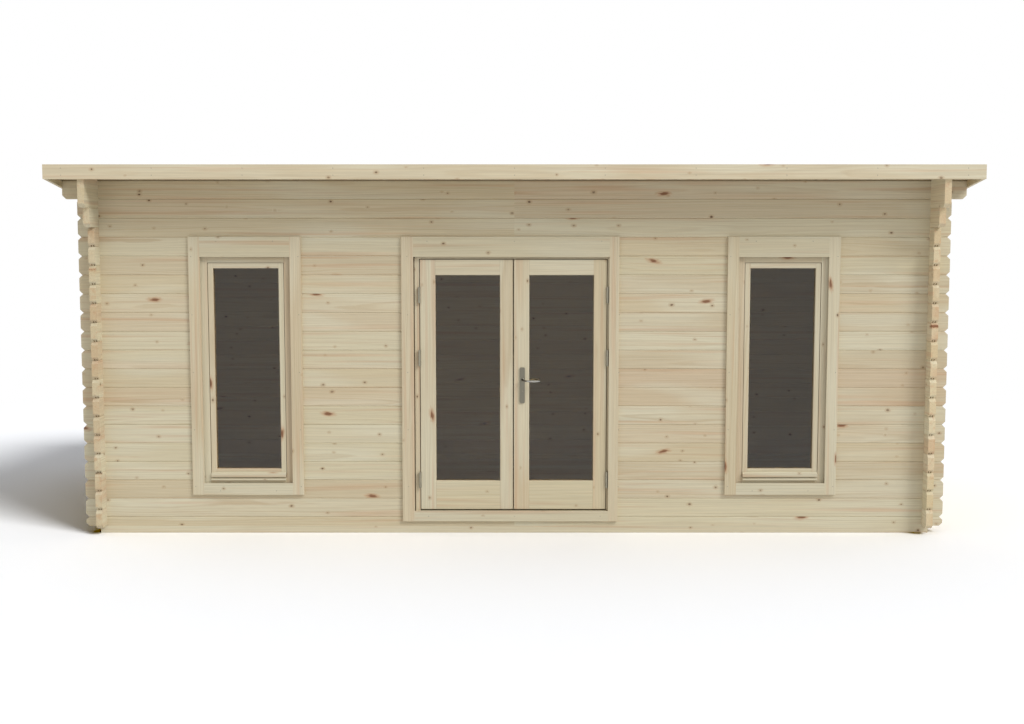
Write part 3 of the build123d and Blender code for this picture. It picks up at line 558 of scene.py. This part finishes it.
def makeBoardTree():
    # repeats the given board sideways, lets each row fall with the roof and be cut at a joist
    tree = bpy.data.node_groups.new("rowOfBoards", "GeometryNodeTree")
    addSockets(tree, "INPUT", {"Geometry": "Geometry", "Count": "Int", "First": "Vector", "Apart": "Vector"})
    addSockets(tree, "INPUT", {"Fall": "Float", "Fall From": "Float", "Length": "Float"})
    addSockets(tree, "INPUT", {"Joist Apart": "Float", "Least Cut": "Int", "Most Cut": "Int"})
    addSockets(tree, "INPUT", {"Gap": "Float", "Seed": "Int", "Material": "Material"})
    addSockets(tree, "OUTPUT", {"Geometry": "Geometry"})
    given = addNode(tree, "NodeGroupInput").outputs
    rows = addNode(
        tree, "GeometryNodeMeshLine", {"mode": "OFFSET"},
        {"Count": given["Count"], "Start Location": given["First"], "Offset": given["Apart"]},
    )
    cut = addNode(
        tree, "FunctionNodeRandomValue", {"data_type": "INT"},
        {4: given["Least Cut"], 5: given["Most Cut"], "Seed": given["Seed"]},
    )
    toCut = addNode(tree, maths, times, {0: cut.outputs[2], 1: given["Joist Apart"]})
    rest = addNode(tree, maths, minus, {0: given["Length"], 1: toCut})
    boards = []
    for length, side in ((toCut, -1), (rest, 1)):
        part = addNode(tree, maths, minus, {0: length, 1: given["Gap"]})
        scale = addNode(tree, maths, over, {0: part, 1: given["Length"]})
        stretch = addNode(tree, joiner, {}, {0: scale, 1: 1.0, 2: 1.0})
        spare = addNode(tree, maths, minus, {0: given["Length"], 1: length})
        aside = addNode(tree, maths, times, {0: spare, 1: side / 2})
        move = addNode(tree, joiner, {}, {0: aside})
        placed = addNode(tree, "GeometryNodeSetPosition", {}, {"Geometry": rows, "Offset": move})
        values = {"Points": placed, "Instance": given["Geometry"], "Scale": stretch}
        boards.append(addNode(tree, "GeometryNodeInstanceOnPoints", {}, values))
    joined = addNode(tree, "GeometryNodeJoinGeometry")
    for part in reversed(boards):
        tree.links.new(part.outputs[0], joined.inputs[0])
    values = {"Points": rows, "Instance": given["Geometry"]}
    single = addNode(tree, "GeometryNodeInstanceOnPoints", {}, values)
    test = {"data_type": "INT", "operation": "GREATER_THAN"}
    cuts = addNode(tree, "FunctionNodeCompare", test, {2: given["Most Cut"], 3: 0})
    chosen = addNode(tree, "GeometryNodeSwitch", {"input_type": "GEOMETRY"}, {0: cuts, 1: single, 2: joined})
    real = addNode(tree, "GeometryNodeRealizeInstances", {}, {0: chosen})
    spot = addNode(tree, splitter, {}, {0: addNode(tree, "GeometryNodeInputPosition")})
    back = addNode(tree, maths, minus, {0: spot.outputs[1], 1: given["Fall From"]})
    drop = addNode(tree, maths, times, {0: back, 1: given["Fall"]})
    down = addNode(tree, joiner, {}, {2: addNode(tree, maths, times, {0: drop, 1: -1.0})})
    falling = addNode(tree, "GeometryNodeSetPosition", {}, {"Geometry": real, "Offset": down})
    values = {"Geometry": falling, "Material": given["Material"]}
    painted = addNode(tree, "GeometryNodeSetMaterial", {}, values)
    addNode(tree, "NodeGroupOutput", {}, {0: painted})
    return tree


boardRows = makeBoardTree()


def layFloorBoards():
    # joists, and so the cuts of a row of boards, come at tenths of its length
    floor = {"count": 28, "chamfer": 0.0022, "joists": 10, "cuts": (2, 8), "gap": 0.0006, "seed": 11}
    low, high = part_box("floor_boards")
    length, width = high.x - low.x, (high.y - low.y) / floor["count"]
    thick = high.z - low.z
    board = boardMesh("floorBoard", length, width, thick, floor["chamfer"], "X")
    piece = growPiece(
        "floorBoards", boardRows,
        {
            "Count": floor["count"], "Apart": (0.0, width, 0.0), "Fall": 0.0,
            "First": (0.5 * (low.x + high.x), low.y + width / 2, (low.z + high.z) / 2),
            "Length": length, "Joist Apart": length / floor["joists"], "Least Cut": floor["cuts"][0],
            "Most Cut": floor["cuts"][1], "Gap": floor["gap"], "Seed": floor["seed"],
            "Material": woods["planedSpruceFloor"],
        },
        board, "cabin",
    )
    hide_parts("floor_boards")


# rows that follow the roof and aren't cut
uncut = {"Fall": roofSlope, "Joist Apart": 0.0, "Least Cut": 0, "Most Cut": 0, "Gap": 0.0, "Seed": 0}


def layRoofBoards():
    roof = {"count": 65, "chamfer": 0.0035}
    low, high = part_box("roof_deck")
    width, length = (high.x - low.x) / roof["count"], high.y - low.y
    thick = high.z - low.z - roofSlope * length
    board = boardMesh("roofBoard", length, width, thick, roof["chamfer"], "Y")
    piece = growPiece(
        "roofBoards", boardRows,
        {
            "Count": roof["count"], "Apart": (width, 0.0, 0.0), **uncut, "Fall From": low.y,
            "First": (low.x + width / 2, 0.5 * (low.y + high.y), high.z - thick / 2),
            "Length": length, "Material": woods["planedSpruceRoof"],
        },
        board, "cabin",
    )
    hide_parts("roof_deck")


layFloorBoards()
layRoofBoards()
print("boards laid")


# fittings: one small shape is put on many points


def turnedMesh(name, profile, sides):
    # a shape turned round Z, from its middle on top down to its middle below
    points = [(0.0, 0.0, profile[0][1])]
    for radius, level in profile:
        for i in range(sides):
            angle = 2 * math.pi * i / sides
            points.append((radius * math.cos(angle), radius * math.sin(angle), level))
    points.append((0.0, 0.0, profile[-1][1]))
    faces = []
    for i in range(sides):
        j = (i + 1) % sides
        faces.append((0, 1 + i, 1 + j))
        for ring in range(len(profile) - 1):
            a, b = 1 + ring * sides, 1 + (ring + 1) * sides
            faces.append((a + i, b + i, b + j, a + j))
        last = 1 + (len(profile) - 1) * sides
        faces.append((len(points) - 1, last + j, last + i))
    mesh = bpy.data.meshes.new(name)
    mesh.from_pydata(points, [], faces)
    return mesh


def makeFittingTree():
    # a copy of the fitting on each point, turned as given and spun by chance round its own axis
    tree = bpy.data.node_groups.new("fittingOnPoints", "GeometryNodeTree")
    addSockets(tree, "INPUT", {"Geometry": "Geometry", "Fitting": "Object", "Turn": "Vector"})
    addSockets(tree, "INPUT", {"Spin": "Float", "Seed": "Int", "Material": "Material"})
    addSockets(tree, "OUTPUT", {"Geometry": "Geometry"})
    given = addNode(tree, "NodeGroupInput").outputs
    fitting = addNode(tree, "GeometryNodeObjectInfo", {}, {"Object": given["Fitting"]})
    copies = addNode(
        tree, "GeometryNodeInstanceOnPoints", {},
        {"Points": given["Geometry"], "Instance": fitting.outputs["Geometry"], "Rotation": given["Turn"]},
    )
    values = {2: 0.0, 3: given["Spin"], "Seed": given["Seed"]}
    spin = addNode(tree, "FunctionNodeRandomValue", {"data_type": "FLOAT"}, values)
    axis = addNode(tree, joiner, {}, {2: spin.outputs[1]})
    spun = addNode(tree, "GeometryNodeRotateInstances", {}, {"Instances": copies, "Rotation": axis})
    real = addNode(tree, "GeometryNodeRealizeInstances", {}, {0: spun})
    painted = addNode(tree, "GeometryNodeSetMaterial", {}, {"Geometry": real, "Material": given["Material"]})
    addNode(tree, "NodeGroupOutput", {}, {0: painted})
    return tree


fittingOnPoints = makeFittingTree()


def fixOn(name, fitting, places, turn, material, body, slotName, spin=0.0):
    # turn is in degrees about X, Y and Z
    holder = bpy.data.objects.new(name + "Pattern", fitting)
    bpy.context.scene.collection.objects.link(holder)
    values = {"Fitting": holder, "Turn": [math.radians(a) for a in turn], "Spin": spin}
    values |= {"Seed": 5, "Material": material}
    growPiece(name, fittingOnPoints, values, pointMesh(name, places), body)
    bpy.data.objects.remove(holder)


def evenly(first, last, count):
    return [first + (last - first) * i / (count - 1) for i in range(count)]


def layGrooveShadeSlots():
    # painted shade: where the grooves under each log come out on the chamfer of its end, pairs of thin dark
    # slots laid on the chamfer stand in for the shade inside them
    slot = {"wide": 0.0068, "long": 0.015, "thick": 0.001, "chamfer": 0.0002, "up": 0.0058}
    log = {"thick": 0.045, "cut": 0.022, "grooves": (0.25, 0.60)}
    side = {"inner": 2.855, "first": 0.178, "count": 15, "ends": (("Front", 1.449, -1), ("Back", 1.551, 1))}
    # front and back walls: inner face, the way out, and how many joints
    walls = {"reach": 3.0, "first": 0.243, "faces": ((-1.304, -1, 16), (1.406, 1, 14))}
    alongY = boardMesh("alongGrooveShade", slot["wide"], slot["long"], slot["thick"], slot["chamfer"], "X")
    alongX = boardMesh("acrossGrooveShade", slot["long"], slot["wide"], slot["thick"], slot["chamfer"], "X")
    levels = [side["first"] + course * n + slot["up"] for n in range(side["count"])]
    across = [side["inner"] + log["thick"] * share for share in log["grooves"]]
    for label, end, way in side["ends"]:
        face = way * (end - log["cut"] + slot["up"])
        places = [(hand * x, face, z) for z in levels for hand in (-1, 1) for x in across]
        turn = (-135.0 * way, 0.0, 0.0)
        fixOn("sideLogGrooves" + label, alongY, places, turn, grooveShadeWood, "cabin", "wall_logs")
    lines = [
        (inner + way * log["thick"] * share, count)
        for inner, way, count in walls["faces"] for share in log["grooves"]
    ]
    for label, hand in (("Left", -1), ("Right", 1)):
        face = hand * (walls["reach"] - log["cut"] + slot["up"])
        places = [
            (face, y, walls["first"] + course * n + slot["up"]) for y, count in lines for n in range(count)
        ]
        turn = (0.0, 135.0 * hand, 0.0)
        fixOn("wallLogGrooves" + label, alongX, places, turn, grooveShadeWood, "cabin", "wall_logs")


def nailBoards():
    # lost heads, knocked in almost flush
    nail = {"radius": 0.0028, "proud": 0.00003, "sunk": 0.0015, "sides": 12, "spin": 6.28}
    edge = {"reach": 1.656, "end": 3.12, "front": 2.4425, "back": 1.9943, "up": (0.026, 0.072)}
    edge |= {"across": (-3.0, 3.0, 11), "down": (-1.55, 1.55, 7)}
    trim = {
        "face": -1.369, "uprights": (-2.223, -1.487, 1.487, 2.223, -0.738, 0.724), "rows": (0.33, 1.93, 5),
        "window": (-2.05, -1.66, 1.66, 2.05), "door": (-0.60, 0.0, 0.60),
        "heads": 2.035, "windowSill": 0.30, "doorSill": 0.12,
    }
    radius = nail["radius"]
    profile = ((radius * 0.8, nail["proud"]), (radius, 0.0), (radius * 0.6, -nail["sunk"]))
    head = turnedMesh("nailHead", profile, nail["sides"])
    across = evenly(*edge["across"])
    front = [(x, -edge["reach"], edge["front"] + z) for x in across for z in edge["up"]]
    front += [(x, trim["face"], z) for x in trim["uprights"] for z in evenly(*trim["rows"])]
    front += [(x, trim["face"], trim["heads"]) for x in trim["window"] + trim["door"]]
    front += [(x, trim["face"], trim["windowSill"]) for x in trim["window"]]
    front += [(x, trim["face"], trim["doorSill"]) for x in trim["door"]]
    back = [(x, edge["reach"], edge["back"] + z) for x in across for z in edge["up"]]
    steel = (nailSteel, "cabin", "hinge_steel", nail["spin"])
    fixOn("frontNails", head, front, (90.0, 0.0, 0.0), *steel)
    fixOn("backNails", head, back, (-90.0, 0.0, 0.0), *steel)
    for label, hand in (("left", -1), ("right", 1)):
        places = [
            (hand * edge["end"], y, edge["front"] + z - roofSlope * (y + edge["reach"]))
            for y in evenly(*edge["down"]) for z in edge["up"]
        ]
        fixOn(label + "BargeNails", head, places, (0.0, 90.0 * hand, 0.0), *steel)


def layFeltLaps():
    # the felt comes in rolls a metre wide: each lies over the next one down, nailed along its edge
    lap = {"count": 3, "first": -1.154, "apart": 0.93, "wide": 0.085, "thick": 0.0026, "chamfer": 0.0008}
    lap |= {"short": 0.002, "sunk": 0.0002}
    clout = {"radius": 0.0055, "high": 0.0012, "sunk": 0.001, "inset": 0.02, "sides": 12, "spin": 6.28}
    clout |= {"row": (-3.0, 3.0, 41)}
    low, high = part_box("roof_felt")
    length = high.x - low.x - lap["short"]
    strip = boardMesh("feltLap", length, lap["wide"], lap["thick"], lap["chamfer"], "X")
    growPiece(
        "feltLaps", boardRows,
        {
            "Count": lap["count"], "Apart": (0.0, lap["apart"], 0.0), **uncut, "Fall From": low.y,
            "First": (0.0, lap["first"], high.z + lap["thick"] / 2 - lap["sunk"]),
            "Length": length, "Material": feltGrey,
        },
        strip, "cabin",
    )
    radius, rise = clout["radius"], clout["high"]
    profile = ((radius * 0.7, rise), (radius, rise * 0.4), (radius, -clout["sunk"]))
    head = turnedMesh("cloutHead", profile, clout["sides"])
    places = []
    for n in range(lap["count"]):
        y = lap["first"] + lap["apart"] * n + lap["wide"] / 2 - clout["inset"]
        top = high.z + lap["thick"] - lap["sunk"] - roofSlope * (y - low.y)
        places += [(x, y, top) for x in evenly(*clout["row"])]
    tilt = -math.degrees(math.atan(roofSlope))
    turn = (tilt, 0.0, 0.0)
    fixOn("cloutNails", head, places, turn, nailSteel, "cabin", "roof_felt", clout["spin"])


def layEaveShadowStrips():
    # painted shadow: a thin dark strip along the joint between the top log and the roof boards stands in for
    # the shadow there
    band = {"deep": 0.0024, "high": 0.0085, "chamfer": 0.0005, "face": -1.3492, "top": 2.4530}
    lengths = {"Middle": (5.709, (0.0,)), "Ends": (0.199, (-3.0, 3.0))}  # between and past the side walls
    y, z = band["face"] - band["deep"] / 2, band["top"] - band["high"] / 2
    for label, (length, spots) in lengths.items():
        strip = boardMesh("eaveBandStrip", length, band["deep"], band["high"], band["chamfer"], "X")
        places = [(x, y, z) for x in spots]
        fixOn("eaveBand" + label, strip, places, (0, 0, 0), eaveShadowPaint, "cabin", "roof_edge_boards")


layGrooveShadeSlots()
nailBoards()
layFeltLaps()
layEaveShadowStrips()
print("fittings fixed")


# door furniture


def sweptLever(stations, sides, between, mirror):
    # stations give x, y, z and half the depth and height; the rings between them follow a smooth curve
    rings = []
    last = len(stations) - 1
    for n in range(last):
        a, b, c, d = (stations[min(max(n + k, 0), last)] for k in (-1, 0, 1, 2))
        for step in range(between):
            t = step / between
            weights = (-t + 2 * t**2 - t**3, 2 - 5 * t**2 + 3 * t**3, t + 4 * t**2 - 3 * t**3, t**3 - t**2)
            rings.append([0.5 * sum(w * v for w, v in zip(weights, four)) for four in zip(a, b, c, d)])
    rings.append(list(stations[-1]))
    points, faces = [], []
    for n, (x, y, z, deep, high) in enumerate(rings):
        before, after = rings[max(n - 1, 0)], rings[min(n + 1, len(rings) - 1)]
        along = Vector((after[0] - before[0], after[1] - before[1])).normalized()
        for i in range(sides):
            angle = 2 * math.pi * i / sides
            out = deep * math.cos(angle)
            points.append((x - along.y * out, y + along.x * out, z + high * math.sin(angle)))
    for n in range(len(rings) - 1):
        for i in range(sides):
            j = (i + 1) % sides
            faces.append((n * sides + i, n * sides + j, (n + 1) * sides + j, (n + 1) * sides + i))
    faces += [tuple(range(sides)), tuple(range((len(rings) - 1) * sides, len(rings) * sides))]
    if mirror:
        points = [(x, 2 * mirror - y, z) for x, y, z in points]
    return points, faces


def makeLever():
    # a thin neck that bends into a lens-shaped grip with a narrow end, the same inside and out
    lever = {"x": 0.055, "level": 1.078, "sides": 20, "between": 7, "middle": -1.327, "neck": 0.084}
    spindle = {"half": 0.0039, "reach": 0.0300}
    x, z = lever["x"], lever["level"]
    stations = (
        (x, -1.3572, z, 0.0085, 0.0085), (x, -1.3640, z, 0.0080, 0.0080),
        (x + 0.0002, -1.3760, z, 0.0068, 0.0066), (x + 0.0025, -1.3880, z, 0.0060, 0.0056),
        (0.0660, -1.3955, z - 0.0020, 0.0050, 0.0050), (0.0820, -1.3975, z - 0.0050, 0.0042, 0.0050),
        (0.1050, -1.3980, z - 0.0068, 0.0044, 0.0066), (0.1350, -1.3982, z - 0.0070, 0.0045, 0.0078),
        (0.1600, -1.3980, z - 0.0066, 0.0040, 0.0064), (0.1740, -1.3975, z - 0.0060, 0.0028, 0.0036),
        (0.1792, -1.3970, z - 0.0058, 0.0006, 0.0010),
    )
    points, faces = [], []
    for mirror in (0.0, lever["middle"]):
        more, sheet = sweptLever(stations, lever["sides"], lever["between"], mirror)
        faces += [tuple(i + len(points) for i in face) for face in sheet]
        points += more
    # the square spindle that joins them
    half, first = spindle["half"], len(points)
    for y in (lever["middle"] - spindle["reach"], lever["middle"] + spindle["reach"]):
        points += [(x + a * half, y, z + b * half) for a, b in ((-1, -1), (1, -1), (1, 1), (-1, 1))]
    sheets = [(0, 1, 2, 3), (4, 5, 6, 7)] + [(i, (i + 1) % 4, (i + 1) % 4 + 4, i + 4) for i in range(4)]
    faces += [tuple(first + i for i in sheet) for sheet in sheets]
    mesh = closedMesh("leverGrips", points, faces, True)
    mesh.materials.append(leverSteel)
    mesh.materials.append(darkShadeSteel)
    # painted shade: the neck, short of this x, takes the dark steel
    for face in mesh.polygons:
        face.material_index = int(face.center.x < lever["neck"])
    piece = bpy.data.objects.new("leverGrips", mesh)
    bpy.context.scene.collection.objects.link(piece)
    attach(piece, "lever")
    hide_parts("door_lever")


def dressLock():
    # a collar round the lever's neck, two screws and a key cylinder on each plate: turned fittings are given
    # by radius and height, flat ones by length, width, thickness and chamfer
    lock = {"x": 0.055, "lever": 1.078, "screws": (0.930, 1.150), "cylinder": 0.992, "stem": 0.979}
    collar = turnedMesh("collar", ((0.0098, 0.0026), (0.0118, 0.0016), (0.0122, -0.0005)), 32)
    screw = turnedMesh("plateScrew", ((0.0022, 0.0012), (0.0036, 0.0007), (0.0040, -0.0005)), 20)
    slot = boardMesh("screwSlot", 0.0060, 0.0010, 0.0006, 0.0001, "X")
    barrel = turnedMesh("keyBarrel", ((0.0075, 0.0016), (0.0085, 0.0010), (0.0086, -0.0005)), 28)
    stem = boardMesh("keyStem", 0.0100, 0.0240, 0.0021, 0.0004, "X")
    keyhole = boardMesh("keyhole", 0.0013, 0.0085, 0.0006, 0.0001, "X")
    # each fitting's levels, how far it stands out from the plate, its steel and its spin
    fittings = {
        "leverCollar": (collar, (lock["lever"],), 0.0, handleSteel, 0.0),
        "plateScrews": (screw, lock["screws"], 0.0, handleSteel, 0.0),
        # painted shade: the screw slots and the keyhole are thin dark pieces laid on
        "screwSlots": (slot, lock["screws"], 0.0011, darkShadeSteel, 3.1),
        "keyBarrel": (barrel, (lock["cylinder"],), 0.0, handleSteel, 0.0),
        "keyStem": (stem, (lock["stem"],), 0.0004, handleSteel, 0.0),
        "keyhole": (keyhole, (lock["cylinder"],), 0.0015, darkShadeSteel, 0.0),
    }
    for label, face, out in (("Outer", -1.357, -1), ("Inner", -1.297, 1)):
        for name, (fitting, levels, proud, steel, spin) in fittings.items():
            places = [(lock["x"], face + out * proud, z) for z in levels]
            turn = (-90.0 * out, 0.0, 0.0)
            fixOn(name + label, fitting, places, turn, steel, "right_door", "handle_steel", spin)
    # the lock's steel front and its keep, let into the meeting edges
    front = boardMesh("lockFront", 0.240, 0.020, 0.0012, 0.0003, "X")
    for name, x, body in (("lockFront", -0.0031, "right_door"), ("lockKeep", -0.0109, "left_door")):
        fixOn(name, front, [(x, -1.327, 1.030)], (0.0, 90.0, 0.0), hingeSteel, body, "hinge_steel")


makeLever()
dressLock()
print("door furniture made")


# camera, where the photograph was taken from
view = {"place": (-0.0164, -10.196, 1.991), "down": 5.10, "lens": 45.03}
lens = bpy.data.cameras.new("camera")
lens.lens = view["lens"]
lens.sensor_width = 36.0
camera = bpy.data.objects.new("camera", lens)
camera.location = view["place"]
camera.rotation_euler = (math.radians(90 - view["down"]), 0.0, 0.0)
bpy.context.scene.collection.objects.link(camera)
bpy.context.scene.camera = camera

# one far soft lamp high on the right, and an even sky
lamps = {"way": (1.25, -1.0, 1.40), "softness": 22.0, "power": 1.80, "sky": 0.64}
lampData = bpy.data.lights.new("softLamp", "SUN")
lampData.angle = math.radians(lamps["softness"])
lampData.energy = lamps["power"]
lamp = bpy.data.objects.new("softLamp", lampData)
lamp.rotation_euler = Vector(lamps["way"]).to_track_quat("Z", "Y").to_euler()
bpy.context.scene.collection.objects.link(lamp)
world = bpy.data.worlds.new("paleStudio")
world.use_nodes = True
world.node_tree.nodes.clear()
rays = addNode(world.node_tree, "ShaderNodeLightPath")
eyeRays = {0: rays.outputs["Is Camera Ray"], 1: rays.outputs["Is Transmission Ray"]}
seen = addNode(world.node_tree, maths, larger, eyeRays)
mirrored = addNode(world.node_tree, maths, larger, {0: seen, 1: rays.outputs["Is Glossy Ray"]})
strength = addNode(world.node_tree, ranges, {}, {0: mirrored, 3: lamps["sky"]})
sky = addNode(world.node_tree, "ShaderNodeBackground", {}, {"Color": (1, 1, 1, 1), "Strength": strength})
addNode(world.node_tree, "ShaderNodeOutputWorld", {}, {"Surface": sky})
bpy.context.scene.world = world
bpy.context.scene.view_settings.view_transform = "Standard"


def makeFloor():
    studio = {"half": 60.0, "level": -0.0005, "near": 5.0, "far": 9.0}
    # the camera sees an overexposed white, less what that adds, so that the shadows are deeper
    paints = {"seen": (1.60, 1.62, 1.66, 1.0), "lit": (0.80, 0.80, 0.80, 1.0), "less": -0.58}
    h, z = studio["half"], studio["level"]
    mesh = bpy.data.meshes.new("studioFloor")
    mesh.from_pydata([(-h, -h, z), (h, -h, z), (h, h, z), (-h, h, z)], [], [(0, 1, 2, 3)])
    material, tree = newMaterial("paintedFloor")
    coords = addNode(tree, "ShaderNodeTexCoord")
    away = addNode(tree, vectors, howLong, {0: coords.outputs["Object"]})
    values = {0: away.outputs["Value"], 1: studio["near"], 2: studio["far"]}
    fade = addNode(tree, ranges, eased, values)
    rays = addNode(tree, "ShaderNodeLightPath")
    values = {0: rays.outputs["Is Camera Ray"], 1: rays.outputs["Is Glossy Ray"]}
    looked = addNode(tree, maths, larger, values)
    seen = addNode(tree, maths, times, {0: fade, 1: looked})
    # the camera sees the paint as white, and the object gets the light of a pale grey
    paint = addNode(tree, mixer, inColour, {0: looked, 6: paints["lit"], 7: paints["seen"]})
    matt = addNode(tree, "ShaderNodeBsdfDiffuse", {}, {"Color": paint.outputs[2]})
    less = addNode(tree, maths, times, {0: looked, 1: paints["less"]})
    taken = addNode(tree, "ShaderNodeEmission", {}, {"Color": (1, 1, 1, 1), "Strength": less})
    shadowed = addNode(tree, "ShaderNodeAddShader", {}, {0: matt, 1: taken})
    white = addNode(tree, "ShaderNodeEmission", {}, {"Color": (1, 1, 1, 1), "Strength": 1.0})
    both = addNode(tree, "ShaderNodeMixShader", {}, {0: seen, 1: shadowed, 2: white})
    addNode(tree, "ShaderNodeOutputMaterial", {}, {"Surface": both})
    floor = bpy.data.objects.new("studioFloor", mesh)
    mesh.materials.append(material)
    bpy.context.scene.collection.objects.link(floor)


makeFloor()
print("camera, lamp and floor set")
